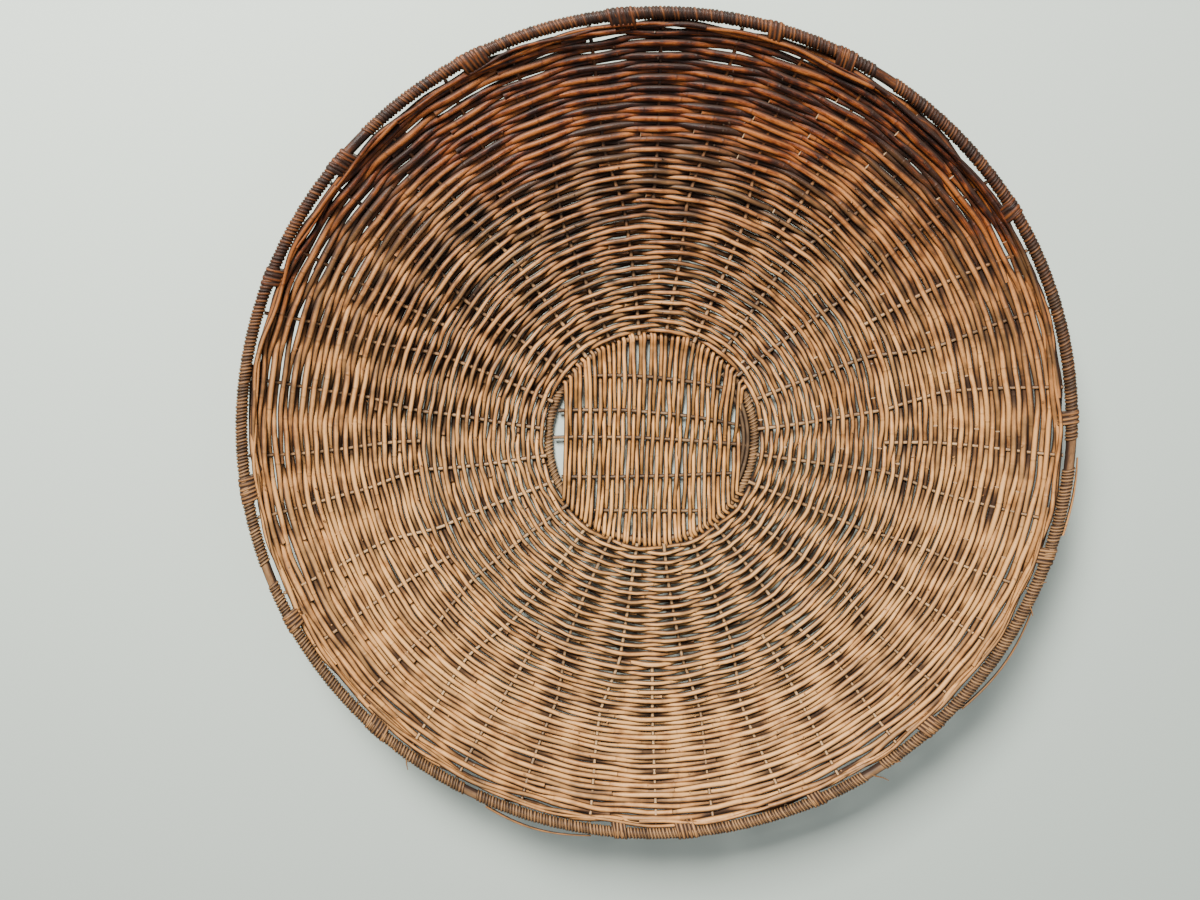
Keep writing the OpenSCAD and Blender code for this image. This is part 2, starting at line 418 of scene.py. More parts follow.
        # Painted highlight, partly rubbed wear: the crown that faces up is lightened in patches.
        crown_rub_highlight = g.math("POWER", crown, self.RUB_HIGHLIGHT_SHARPNESS)
        crown_rub_highlight = g.math("MULTIPLY", crown_rub_highlight, given.outputs["Wear"])
        patches = g.math("MULTIPLY", given.outputs["Patch"], self.RUB_HIGHLIGHT_PATCHES)
        crown_rub_highlight = g.math("MULTIPLY", crown_rub_highlight, patches, clamp=True)
        colour = g.mix(crown_rub_highlight, given.outputs["Color"], given.outputs["Worn"])
        # Painted shade: the flanks, where rods meet, are darkened towards near black.
        side = g.math("ABSOLUTE", g.math("SUBTRACT", g.math("MULTIPLY", crown, 2.0), 1.0))
        flank = g.math("SUBTRACT", g.math("SUBTRACT", 1.0, side), self.FLANK_START)
        flank = g.math("DIVIDE", flank, self.FLANK_EDGE, clamp=True)
        flank_shade_mask = g.math("MULTIPLY", flank, given.outputs["Grime"], clamp=True)
        g.feed(result.inputs["Color"], g.mix(flank_shade_mask, colour, rgba(self.FLANK_SHADE)))
        g.feed(result.inputs["ShadeAndDirt"], flank_shade_mask)
        return tree


class Wardrobe:
    """Makes each willow material once and hands it out."""

    RAMP = (0.12, 0.42, 0.68, 0.95)
    SHADE_AND_STAIN_TINT = (0.36, 0.175, 0.048)
    SHADE_AND_STAIN_SHARE = 0.92
    PORE_SHARE = 0.45
    SCAR_SHARE = 0.55
    PITH = ((0.24, 0.14, 0.07), (0.60, 0.43, 0.26))
    FLANK_ROUGHENS = 0.35
    MOTTLE_ROUGHENS = 0.15
    BUMP = 0.8
    SPECULAR = 0.36

    def __init__(self) -> None:
        """Build the shared groups."""
        self.groups = BarkGroups()
        self.made: dict[Willow, bpy.types.Material] = {}

    def get(self, willow: Willow) -> bpy.types.Material:
        """Return the material of a finish, making it the first time.

        Args:
            willow: Which finish.

        Returns:
            The material.
        """
        if willow not in self.made:
            self.made[willow] = self._make(willow.value)
        return self.made[willow]

    def _group(self, g: Graph, tree: bpy.types.NodeTree, **inputs: object) -> bpy.types.Node:
        """Place a node group and fill its inputs."""
        return g.add("ShaderNodeGroup", {"node_tree": tree}, **inputs)

    def _make(self, look: WillowFinish) -> bpy.types.Material:
        """Make one willow material.

        Args:
            look: Colours and surface of the finish.

        Returns:
            The material.
        """
        material = bpy.data.materials.new(look.name)
        material.use_nodes = True
        g = Graph(material.node_tree)
        shader = material.node_tree.nodes["Principled BSDF"]
        marks = g.add("ShaderNodeAttribute", {"attribute_name": "finish"})
        marks = g.add("ShaderNodeSeparateColor", Color=marks.outputs["Color"])
        tone, crown, cut = marks.outputs[0], marks.outputs[1], marks.outputs[2]
        grain = self._group(g, self.groups.grain, Tone=tone, Streaks=look.streaks,
                            Bud_Spacing=look.bud_spacing)
        bark = self._group(g, self.groups.bark, Tone=tone, Grain=grain.outputs["Grain"])
        tints = (look.shade, look.body, look.light, look.worn_highlight)
        colour = g.ramp(bark.outputs["Value"], list(zip(self.RAMP, tints)))
        # Painted shade and stain: a darker brown multiplied in where the mask lies.
        shade_and_stain_tint = g.mix(1.0, colour, rgba(self.SHADE_AND_STAIN_TINT), "MULTIPLY")
        share = g.math("MULTIPLY", bark.outputs["ShadeAndStain"], self.SHADE_AND_STAIN_SHARE)
        colour = g.mix(share, colour, shade_and_stain_tint)
        for mark, share in (("Pores", self.PORE_SHARE), ("Bud", self.SCAR_SHARE)):
            share = g.math("MULTIPLY", grain.outputs[mark], share)
            colour = g.mix(share, colour, rgba(look.shade))
        # The painted highlight and wear on the crowns are held back under the painted shade and
        # stain.
        unstained_unshaded = g.math("SUBTRACT", 1.0, bark.outputs["ShadeAndStain"], clamp=True)
        lit_and_shaded = self._group(
            g, self.groups.grime, Color=colour, Worn=rgba(look.worn_highlight), Crown=crown,
            Patch=bark.outputs["Patch"], Grime=look.grime,
            Wear=g.math("MULTIPLY", look.wear_and_highlight, unstained_unshaded))
        pith = g.mix(grain.outputs["Grain"], *(rgba(tint) for tint in self.PITH))
        rough = g.math("MULTIPLY", lit_and_shaded.outputs["ShadeAndDirt"], self.FLANK_ROUGHENS)
        rough = g.math("ADD", look.roughness, rough)
        mottle = g.math("MULTIPLY", bark.outputs["Patch"], self.MOTTLE_ROUGHENS)
        bump = g.add("ShaderNodeBump", Strength=self.BUMP, Distance=look.relief,
                     Height=grain.outputs["Height"])
        g.feed(shader.inputs["Base Color"], g.mix(cut, lit_and_shaded.outputs["Color"], pith))
        g.feed(shader.inputs["Roughness"], g.math("ADD", rough, mottle, clamp=True))
        g.feed(shader.inputs["Normal"], bump.outputs[0])
        shader.inputs["Specular IOR Level"].default_value = self.SPECULAR
        return material


# --------------------------------------------------------------------------
# Shape of the wall
# --------------------------------------------------------------------------

def mix(a: float, b: float, t: float) -> float:
    """Return the value a share t of the way from a to b."""
    return a + (b - a) * t


def smooth(t: float) -> float:
    """Return t eased at both ends, kept from 0 to 1."""
    t = min(1.0, max(0.0, t))
    return t * t * (3 - 2 * t)


def eased(x: float, zone: tuple[float, float]) -> float:
    """Return how far x is through a zone, given as its start and its length."""
    return smooth((x - zone[0]) / zone[1])


def polar(r: float, a: float, z: float = 0.0) -> Vector:
    """Return the point at a radius, an angle and a height."""
    return Vector((r * math.cos(a), r * math.sin(a), z))


def uneven(x: float, y: float, z: float) -> float:
    """Return smooth unevenness at a place, about -1 to 1."""
    return noise.noise(Vector((x, y, z)))


@dataclass
class Wall:
    """The curved middle of the woven wall, and where its stakes stand.

    Args:
        curve: How sharply the wall turns up towards the rim.
        lapping: Thickness of the lapping round the rim.
        centre_lapping: Thickness of the lapping round the centre hoop.
        hoop_tube: Half the thickness of the centre hoop.
        stake: Thickness of a stake.
        clearance: Room between a stake and the rods that pass it.
        tail_reach: How far outside the hoop's middle the stakes begin.
        seam: Radius at which the added stakes start.
        groups: Number of groups of stakes.
        parting: Length over which the main stakes part for an added one.
        stray: How far a stake may stray from its even place, in radians.
        ripples: Waves that push the rounds about, each as its number round the
            basket, its number per metre outward, a shift, and its size.
        edge_push: How far the outermost rounds crowd towards the rim.
        calm: Length next to the centre and the rim over which the waves die out.
    """

    curve: float = 3.0
    lapping: float = 1.3 * MM
    centre_lapping: float = 0.8 * MM
    hoop_tube: float = 4.6 * MM
    stake: float = 5 * MM
    clearance: float = 0.35 * MM
    tail_reach: float = 3.2 * MM
    seam: float = 262 * MM
    groups: int = 12
    parting: float = 60 * MM
    stray: float = 0.030
    ripples: tuple = (
        (2.1, 14.0, 0.0, 2.6 * MM), (7.0, 30.0, 9.0, 1.4 * MM), (11.0, 95.0, 2.0, 1.1 * MM))
    edge_push: float = 1.6 * MM
    calm: float = 30 * MM
    rim_r: float = field(init=False)
    rim_z: float = field(init=False)
    rim_tube: float = field(init=False)
    hoop_r: float = field(init=False)
    hoop_z: float = field(init=False)
    tail_r: float = field(init=False)
    tail_z: float = field(init=False)

    def __post_init__(self) -> None:
        """Read the places of both hoops from the frame."""
        low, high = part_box("rim_hoop")
        self.rim_tube = (high.z - low.z) / 2
        self.rim_r = (high.y - low.y) / 2 - self.rim_tube
        self.rim_z = (high.z + low.z) / 2
        low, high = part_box("centre_hoop")
        self.hoop_r = (high.x - low.x) / 2 - self.hoop_tube
        self.hoop_z = high.z - self.hoop_tube
        self.tail_r = self.hoop_r + self.tail_reach
        seat = self.hoop_tube + self.centre_lapping + self.stake / 2 + self.clearance
        self.tail_z = self.hoop_z + math.sqrt(seat ** 2 - self.tail_reach ** 2)

    @property
    def rise(self) -> float:
        """Height of the rim above the foot of the wall."""
        return self.rim_z - self.tail_z

    def share(self, r: float) -> float:
        """Return how far out a radius is, 0 at the foot and 1 at the rim."""
        return max(0.0, r - self.tail_r) / (self.rim_r - self.tail_r)

    def height(self, r: float) -> float:
        """Return the height of the wall's middle at a radius."""
        return self.tail_z + self.rise * self.share(r) ** self.curve

    def slope(self, r: float) -> float:
        """Return how steeply the wall rises at a radius."""
        steepest = self.rise * self.curve / (self.rim_r - self.tail_r)
        return steepest * self.share(r) ** (self.curve - 1)

    def up(self, r: float, a: float) -> Vector:
        """Return the direction square to the wall, into the bowl."""
        s = self.slope(r)
        return Vector((-s * math.cos(a), -s * math.sin(a), 1.0)).normalized()

    def point(self, r: float, a: float, lift: float = 0.0) -> Vector:
        """Return a point of the wall.

        Args:
            r: Radius, in metres.
            a: Angle, in radians.
            lift: Distance off the wall's middle, into the bowl.

        Returns:
            The point.
        """
        return polar(r, a, self.height(r)) + lift * self.up(r, a)

    def arc(self, r0: float, r1: float, steps: int = 40) -> float:
        """Return the length of the wall's profile between two radii."""
        d = (r1 - r0) / steps
        return sum(math.hypot(1, self.slope(r0 + (i + 0.5) * d)) for i in range(steps)) * d

    def along(self, r0: float, length: float, steps: int = 24) -> float:
        """Return the radius that lies a length outward along the profile."""
        r = r0
        for _ in range(steps):
            r += length / steps / math.hypot(1, self.slope(r))
        return r

    def stakes_at(self, r: float) -> int:
        """Return how many stakes stand at a radius."""
        return (2 if r < self.seam else 3) * self.groups

    def stake_angle(self, i: int, r: float) -> float:
        """Return the angle of a stake, with the small wander of hand work.

        Args:
            i: Stake number, counted round with 2 or 3 to a group.
            r: Radius, in metres.

        Returns:
            Angle in radians, which grows with i without a jump.
        """
        per = 2 if r < self.seam else 3
        group, place = divmod(i, per)
        side = (-1, 1)[place] if per == 2 else place - 1
        pitch = math.tau / self.groups
        parting = min(1.0, max(0.0, (r - self.seam) / self.parting))
        angle = pitch * group + side * pitch * (0.25 + parting / 12)
        return angle + self.wander(group % self.groups, side, r)

    def wander(self, group: int, side: int, r: float) -> float:
        """Return how far a stake has strayed from its even place, in radians."""
        return self.stray * uneven(group * 3.7 + side * 1.3, r * 7.0, 4.2)

    def drift(self, r: float, a: float) -> float:
        """Return how far the rounds have been pushed outward at a place, in metres."""
        still = smooth((r - self.tail_r) / self.calm)
        still *= smooth((self.rim_r - 8 * MM - r) / self.calm)
        edge = self.edge_push * smooth((r - self.rim_r + 40 * MM) / self.calm)
        waves = sum(
            size * uneven(turns * math.cos(a), turns * math.sin(a), r * outward + shift)
            for turns, outward, shift, size in self.ripples)
        return edge + still * waves


# --------------------------------------------------------------------------
# Modelling of rods and lapping
# --------------------------------------------------------------------------

@dataclass
class Station:
    """One ring of a rod.

    Args:
        point: Middle of the ring.
        up: Direction that counts as the rod's crown.
        radius: Radius of the ring.
        depth: How far the rod is on top of a stake, 1, or beneath one, -1, scaled to set how
            much painted shade falls on it beneath a stake.
    """

    point: Vector
    up: Vector
    radius: float
    depth: float = 0.0


class RodMesh:
    """Rods rolled from grids in one bmesh, with UVs in metres and a finish attribute.

    The finish attribute holds a rod's tone, how near a corner is to the crown,
    and whether it belongs to a cut end. The crown sets the painted highlight on the
    side of a rod that faces up and the painted shade on its flanks. The constant
    below is how far the crown of a rod that runs beneath a stake counts as its
    flank, which paints shade on it there.
    """

    # Painted shade: how far the top of a rod beneath a stake counts as flank, and so is
    # darkened.
    UNDER_STAKE_SHADE = 0.42

    def __init__(self, sides: int = 9) -> None:
        """Start an empty mesh.

        Args:
            sides: Number of faces round a rod.
        """
        self.sides = sides
        self.bm = bmesh.new()
        self.uv = self.bm.loops.layers.uv.new("UVMap")
        self.finish = self.bm.loops.layers.float_color.new("finish")

    def grid(self, columns: int) -> tuple[dict, list]:
        """Lay a grid whose rows close round a rod.

        Args:
            columns: Number of rings.

        Returns:
            Vertices by (ring, side), and the faces of the grid.
        """
        made = bmesh.ops.create_grid(
            self.bm, x_segments=columns - 1, y_segments=self.sides, size=0.5)["verts"]
        cells = {}
        for vert in made:
            i = round((vert.co.x + 0.5) * (columns - 1))
            k = round((vert.co.y + 0.5) * self.sides)
            cells[i, k] = vert
        faces = list({face for vert in made for face in vert.link_faces})
        return cells, faces

    def add(self, stations: list[Station], tone: float, phase: float = 0.0,
            cut: float = 1.0) -> None:
        """Add one rod with both its ends cut square.

        Args:
            stations: Rings along the rod.
            tone: Tone of its bark, 0 to 1.
            phase: Distance along the bark at which the rod starts.
            cut: How pale the cut ends are, 0 to 1.
        """
        count = len(stations)
        cells, faces = self.grid(count)
        where = {vert: key for key, vert in cells.items()}
        lengths = [phase]
        for here, after in zip(stations, stations[1:]):
            lengths.append(lengths[-1] + (after.point - here.point).length)
        for face in faces:
            face.smooth = True
            for loop in face.loops:
                i, k = where[loop.vert]
                loop[self.uv].uv = (lengths[i], k / self.sides)
                # Crown: the side that faces up takes the painted highlight, the flanks painted
                # shade, darker still beneath a stake.
                rise = math.sin(math.tau * k / self.sides)
                hidden = max(0.0, -math.copysign(1.0, rise) * stations[i].depth)
                crown = 0.5 + 0.5 * rise * (1 - self.UNDER_STAKE_SHADE * min(1.0, hidden))
                loop[self.finish] = (tone, crown, 0.0, 1.0)
        for i, station in enumerate(stations):
            before = stations[max(0, i - 1)].point
            after = stations[min(count - 1, i + 1)].point
            run = (after - before).normalized()
            up = (station.up - station.up.dot(run) * run).normalized()
            across = up.cross(run)
            for k in range(self.sides + 1):
                turn = math.tau * k / self.sides
                offset = math.cos(turn) * across + math.sin(turn) * up
                cells[i, k].co = station.point + station.radius * offset
        self.close(cells, count, tone, cut)

    def hoop(self, r: float, z: float, tube: float, steps: int, tone: float) -> None:
        """Add a rod bent into a full ring.

        Args:
            r: Radius of the ring.
            z: Height of its middle.
            tube: Half the thickness of the rod.
            steps: Stations round the ring.
            tone: Tone of its bark.
        """
        turns = [i * math.tau / steps for i in range(steps + 1)]
        self.add([Station(polar(r, a, z), UPRIGHT, tube) for a in turns], tone)

    def close(self, cells: dict, count: int, tone: float, cut: float = 0.0) -> None:
        """Close a grid along its seam and at both ends.

        Args:
            cells: Vertices by (ring, side).
            count: Number of rings.
            tone: Tone of the ends.
            cut: How pale the cut ends are, 0 to 1.
        """
        seam = {cells[i, self.sides]: cells[i, 0] for i in range(count)}
        bmesh.ops.weld_verts(self.bm, targetmap=seam)
        for i in (0, count - 1):
            self.cap([cells[i, k] for k in range(self.sides)], tone, cut)

    def cap(self, ring: list, tone: float, cut: float) -> None:
        """Close an end.

        Args:
            ring: Vertices of the open ring.
            tone: Tone of the rod.
            cut: How pale the cut is, 0 to 1.
        """
        chosen = set(ring)
        edges = [edge for vert in ring for edge in vert.link_edges
                 if edge.is_boundary and edge.other_vert(vert) in chosen]
        for face in bmesh.ops.holes_fill(self.bm, edges=list(set(edges)), sides=0)["faces"]:
            face.smooth = False
            for edge in face.edges:
                edge.smooth = False
            for loop in face.loops:
                loop[self.uv].uv = (loop.vert.co.x, loop.vert.co.y)
                # Cut ends count as near the crown, so they take a painted highlight and little
                # painted shade.
                loop[self.finish] = (tone, 0.9, cut, 1.0)

    def piece(self, name: str, willow: Willow, nodes: list[str]) -> bpy.types.Object:
        """Turn the mesh into a dressed piece that rides on the basket.

        Args:
            name: Name of the piece.
            willow: Its finish.
            nodes: CAD nodes that it stands for.

        Returns:
            The object.
        """
        bmesh.ops.recalc_face_normals(self.bm, faces=self.bm.faces)
        mesh = bpy.data.meshes.new(name)
        self.bm.to_mesh(mesh)
        self.bm.free()
        mesh.materials.append(WARDROBE.get(willow))
        thing = bpy.data.objects.new(name, mesh)
        bpy.context.scene.collection.objects.link(thing)
        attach(thing, "root")
        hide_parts(*nodes)
        log.info("%s: %d faces", name, len(mesh.polygons))
        return thing


@dataclass
class Lapping:
    """Split willow laid turn by turn round part of a hoop.

    Args:
        hoop_r: Radius of the hoop's middle.
        hoop_z: Height of the hoop's middle.
        start: Angle at which the lapping begins, in degrees.
        end: Angle at which it ends, in degrees.
        pitch: Width of one turn.
        half_width: Half the lapped width, in the plane of the rim.
        half_height: Half the lapped height.
        groove: Depth of the groove between turns.
        lean: How far a turn leans along the hoop from one side to the other.
        offset: Place of the section's middle off the hoop's, outward and up.
        tilt: Angle of the section in its own plane, in radians.
    """

    hoop_r: float
    hoop_z: float
    start: float
    end: float
    pitch: float
    half_width: float
    half_height: float
    groove: float
    lean: float
    offset: tuple[float, float] = (0.0, 0.0)
    tilt: float = 0.0
    PROFILE = ((0.0, 1.0), (0.2, 0.3), (0.5, 0.0), (0.8, 0.3))
    # Crown of each step of a turn: painted highlight on the ridge, painted shade in the groove
    # between turns.
    CROWNS = (0.5, 0.8, 1.0, 0.8)
    END_TONE = 0.4

    def lay(self, rods: RodMesh, rng: random.Random) -> None:
        """Add the lapping to a mesh.

        Args:
            rods: Mesh to add to.
            rng: Source of the turns' small differences.
        """
        span = math.radians(self.end - self.start)
        turns = max(2, round(span * self.hoop_r / self.pitch))
        per = len(self.PROFILE)
        columns = turns * per + 1
        cells, faces = rods.grid(columns)
        where = {vert: key for key, vert in cells.items()}
        tones = [rng.random() for _ in range(turns)]
        swell = [rng.uniform(-0.12, 0.22) * self.groove for _ in range(turns)]
        edges = [t + rng.uniform(-0.16, 0.16) * (0 < t < turns) for t in range(turns + 1)]
        leans = [self.lean * rng.uniform(0.7, 1.3) for _ in range(turns + 1)]
        for face in faces:
            face.smooth = True
            ring = min(where[v][0] for v in face.verts)
            tone = tones[ring // per]
            for loop in face.loops:
                i, k = where[loop.vert]
                around = k / rods.sides
                crown = self.CROWNS[i % per]
                loop[rods.uv].uv = (around * math.tau * self.half_width + tone, i / per)
                loop[rods.finish] = (tone, crown, 0.0, 1.0)
        for i in range(columns):
            turn, step = divmod(i, per)
            inside = min(turn, turns - 1)
            place, dip = self.PROFILE[step]
            along = mix(edges[turn], edges[min(turn + 1, turns)], place) / turns
            sink = self.groove * dip - (0 if step == 0 else swell[inside])
            for k in range(rods.sides + 1):
                around = math.tau * k / rods.sides
                lean = leans[inside] * math.cos(around) / self.hoop_r
                angle = math.radians(self.start) + span * along + lean
                cells[i, k].co = self._place(angle, around, sink)
        rods.close(cells, columns, self.END_TONE)

    def _place(self, angle: float, around: float, sink: float) -> Vector:
        """Return a point of the lapping, worn flat where it would pass the floor.

        Args:
            angle: Angle round the hoop.
            around: Angle round the section.
            sink: Depth below the crown of a turn.

        Returns:
            The point.
        """
        x = (self.half_width - sink) * math.cos(around)
        y = (self.half_height - sink) * math.sin(around)
        out = self.offset[0] + x * math.cos(self.tilt) - y * math.sin(self.tilt)
        rise = self.offset[1] + x * math.sin(self.tilt) + y * math.cos(self.tilt)
        return polar(self.hoop_r + out, angle, max(0.0, self.hoop_z + rise))


# --------------------------------------------------------------------------
# Sub-assemblies
# --------------------------------------------------------------------------

@dataclass
class CentrePanel:
    """The woven panel in the middle, in its own hoop.

    Args:
        wall: The basket's wall, which gives the hoop's place.
        cross_rod: Thickness of a cross rod.
        fine_rod: Thickness of a fine rod.
        count: Number of fine rods.
        pitch: Spacing of the fine rods.
        shift: How far the fine rods lie right of the middle.
        lift: Room beneath the fine rods.
        fine_swell: Least and greatest thickness of a fine rod, as shares of the
            square rods that they follow.
        wobble: How far a fine rod wanders sideways.
        bend_room: Length in which a fine rod comes down from the hoop.
        cross_places: Each cross rod's place at its left end, middle and right end.
        liners: How far inside the hoop each rod along it lies, and its ends in degrees.
        liner_rod: Thickness of these rods.
        liner_rise: How far above the panel's middle they lie.
        lapped: Stretches of the hoop whose lapping shows, in degrees.
        turn_down: Angles through which a fine rod turns over the hoop, in degrees.
    """

    wall: Wall
    cross_rod: float = 4.6 * MM
    fine_rod: float = 4 * MM
    count: int = 37
    pitch: float = 5.5 * MM
    shift: float = 0.8 * MM
    lift: float = 1.2 * MM
    fine_swell: tuple = (1.16, 1.40)
    wobble: float = 2.1 * MM
    bend_room: float = 12 * MM
    cross_places: tuple = (
        (70, 73, 51), (34, 33, 14), (4, 3, -6), (-42, -41, -36), (-80, -82, -80))
    liners: tuple = ((2.6, -34, 44), (7.4, -24, 34))
    liner_rod: float = 5 * MM
    liner_rise: float = 1.2 * MM
    lapped: tuple = ((149, 207), (-32, 26))
    turn_down: tuple = (72, 54, 36, 18, 2, -12)

    @property
    def swing(self) -> float:
        """Distance of a fine rod off the panel's middle where it passes a cross rod."""
        return (self.cross_rod + self.fine_rod) / 2 + self.wall.clearance / 2

    @property
    def level(self) -> float:
        """Height of the panel's middle."""
        return self.swing + self.fine_rod / 2 + self.lift

    @property
    def reach(self) -> float:
        """Radius of the room inside the lapped hoop."""
        return self.wall.hoop_r - self.wall.hoop_tube - self.wall.centre_lapping - 0.3 * MM

    def cross_y(self, k: int, x: float) -> float:
        """Return the place of a cross rod at a distance from the middle."""
        left, middle, right = (MM * v for v in self.cross_places[k])
        t = x / self.wall.hoop_r
        return middle + t * (right - left) / 2 + t * t * ((right + left) / 2 - middle)

    def build(self) -> None:
        """Model and dress every piece of the panel."""
        self._hoop()
        self._lapping()
        self._cross_rods()
        self._fine_rods()

    def _hoop(self) -> None:
        """Model the bent rod of the hoop."""
        rods = RodMesh(sides=14)
        w = self.wall
        rods.hoop(w.hoop_r, w.hoop_z, w.hoop_tube * 0.985, steps=180, tone=0.4)
        rods.piece("centre_hoop_rod", Willow.HOOP, ["centre_hoop"])

    def _lapping(self) -> None:
        """Lay the split willow where it shows on the hoop."""
        rods = RodMesh(sides=14)
        rng = random.Random(11)
        w = self.wall
        half = w.hoop_tube + w.centre_lapping
        for start, end in self.lapped:
            Lapping(w.hoop_r, w.hoop_z, start, end, pitch=4.0 * MM, half_width=half,
                    half_height=half, groove=1.7 * MM, lean=1.9 * MM).lay(rods, rng)
        rods.piece("centre_hoop_lapping", Willow.LAPPING, ["centre_lapping"])

    def _cross_end(self, k: int, side: int) -> float:
        """Return where a cross rod meets the inside of the hoop.

        Args:
            k: Number of the cross rod.
            side: Left, -1, or right, 1.

        Returns:
            Its end's distance from the middle, signed.
        """
        x = side * self.reach * 0.8
        for _ in range(6):
            y = abs(self.cross_y(k, x)) + self.cross_rod / 2
            x = side * math.sqrt(self.reach ** 2 - y ** 2)
        return x

    def _cross_rods(self) -> None:
        """Model the cross rods, thick at one end and thin at the other, and the liners."""
        rods = RodMesh(sides=10)
        rng = random.Random(5)
        steps = 40
        for k in range(len(self.cross_places)):
            left, right = (self._cross_end(k, side) for side in (-1, 1))
            stations = []
            for n in range(steps + 1):
                t = n / steps
                x = mix(left, right, t)
                bend = 0.5 * MM * uneven(x * 40, k * 3.1, 0.5)
                point = Vector((x, self.cross_y(k, x) + bend, self.level))
                radius = self.cross_rod / 2 * mix(1.0, 0.86, t if k % 2 else 1 - t)
                stations.append(Station(point, UPRIGHT, radius))
            rods.add(stations, 0.2 + 0.5 * rng.random(), rng.random())
        steps = 30
        for inset, start, end in self.liners:
            turns = [math.radians(mix(start, end, n / steps)) for n in range(steps + 1)]
            r, z = self.reach - inset * MM, self.level + self.liner_rise
            stations = [Station(polar(r, a, z), UPRIGHT, self.liner_rod / 2) for a in turns]
            # The liners take the darkest tone: their own dark bark, with the shade inside the
            # hoop painted into it.
            rods.add(stations, 0.0, rng.random())
        rods.piece("centre_cross_rods_bark", Willow.CROSS, ["centre_cross_rods"])

    def _fine_rods(self) -> None:
        """Model the fine rods, woven through the cross rods and turned round the hoop."""
        rods = RodMesh(sides=9)
        rng = random.Random(23)
        for n in range(self.count):
            self._fine_rod(rods, n, rng)
        rods.piece("centre_panel_weave", Willow.PANEL, ["centre_panel_rods"])

    def _fine_rod(self, rods: RodMesh, n: int, rng: random.Random) -> None:
        """Model one fine rod.

        Args:
            rods: Mesh to add to.
            n: Number of the rod, from the left.
            rng: Source of its small differences.
        """
        x0 = (n - (self.count - 1) / 2) * self.pitch + rng.uniform(-0.7, 0.7) * MM + self.shift
        thick = rng.uniform(*self.fine_swell) * self.fine_rod / 2
        taper = rng.choice((-1, 1)) * 0.1
        knots = self._knots(x0, n)
        steps = 7
        line = [(mix(y0, y1, i / steps), mix(z0, z1, smooth(i / steps)))
                for (y0, z0), (y1, z1) in zip(knots, knots[1:]) for i in range(steps)]
        path = self._wrap(x0, line + [knots[-1]])
        made = []
        for i, (x, y, z, crown) in enumerate(path):
            share = 2 * i / (len(path) - 1) - 1
            x += self.wobble * uneven(n * 0.9, y * 20, 1.0)
            made.append(Station(Vector((x, y, z)), crown, thick * (1 + taper * share)))
        rods.add(made, rng.random(), rng.random() * 3)

    def _spread(self, x0: float, y: float) -> float:
        """Return where a fine rod lies across the panel, fanned out towards its ends."""
        t = y / self.wall.hoop_r
        return x0 * (1 + 0.09 * abs(t) ** 3) + 3 * MM * t

    def _end_y(self, x0: float, radius: float) -> float:
        """Return how far along a fine rod reaches a radius."""
        y = math.sqrt(max(0.0, radius ** 2 - x0 ** 2))
        for _ in range(6):
            x = min(radius * 0.98, abs(self._spread(x0, y)))
            y = math.sqrt(max(1e-6, radius ** 2 - x ** 2))
        return y

    def _knots(self, x0: float, n: int) -> list[tuple[float, float]]:
        """Return the bends of a fine rod as places and heights.

        Args:
            x0: Place of the rod at the middle of the panel.
            n: Number of the rod.

        Returns:
            The bends, from the top end to the bottom end.
        """
        w = self.wall
        end = self._end_y(x0, w.hoop_r)
        bend = self._end_y(x0, w.hoop_r - self.bend_room)
        last = bend - 0.75 * self.bend_room
        top = w.hoop_z + w.hoop_tube + self.fine_rod / 2
        inner = []
        for k in range(len(self.cross_places)):
            y = self.cross_y(k, x0)
            beside = abs(y) + self.cross_rod / 2
            half = math.sqrt(max(0.0, self.reach ** 2 - beside ** 2))
            if abs(x0) < half + self.fine_rod and abs(y) < end - 4 * MM:
                side = 1 if abs(y) > last or (k + n) % 2 == 0 else -1
                inner.append((y, self.level + side * self.swing))
        knots = [(end, top)]
        if not inner or inner[0][0] < last:
            knots.append((bend, self.level))
        knots += inner
        if not inner or inner[-1][0] > -last:
            knots.append((-bend, self.level))
        return knots + [(-end, top)]

    def _wrap(self, x0: float, line: list[tuple[float, float]]) -> list[tuple]:
        """Turn both ends of a fine rod down round the hoop.

        Args:
            x0: Place of the rod at the middle of the panel.
            line: Places and heights along the rod.

        Returns:
            Points with the direction of the crown at each.
        """
        w = self.wall
        seat = 0.96 * (w.hoop_tube + self.fine_rod / 2)
        path = [(self._spread(x0, y), y, z, UPRIGHT) for y, z in line]

        def turned(y_end: float) -> list[tuple]:
            """Return the points of one end, from the hoop's top down its outer side.

            Args:
                y_end: Place of the end along the rod.

            Returns:
                Points with the direction of the crown at each.
            """
            base = math.atan2(y_end, self._spread(x0, y_end))
            points = []
            for degree in self.turn_down:
                lean = math.radians(degree)
                a = base + (90 - degree) / 90 * 0.012
                crown = polar(math.cos(lean), a, math.sin(lean))
                r = w.hoop_r + seat * math.cos(lean)
                points.append((*polar(r, a, w.hoop_z + seat * math.sin(lean)), crown))
            return points

        return turned(line[0][0])[::-1] + path + turned(line[-1][0])


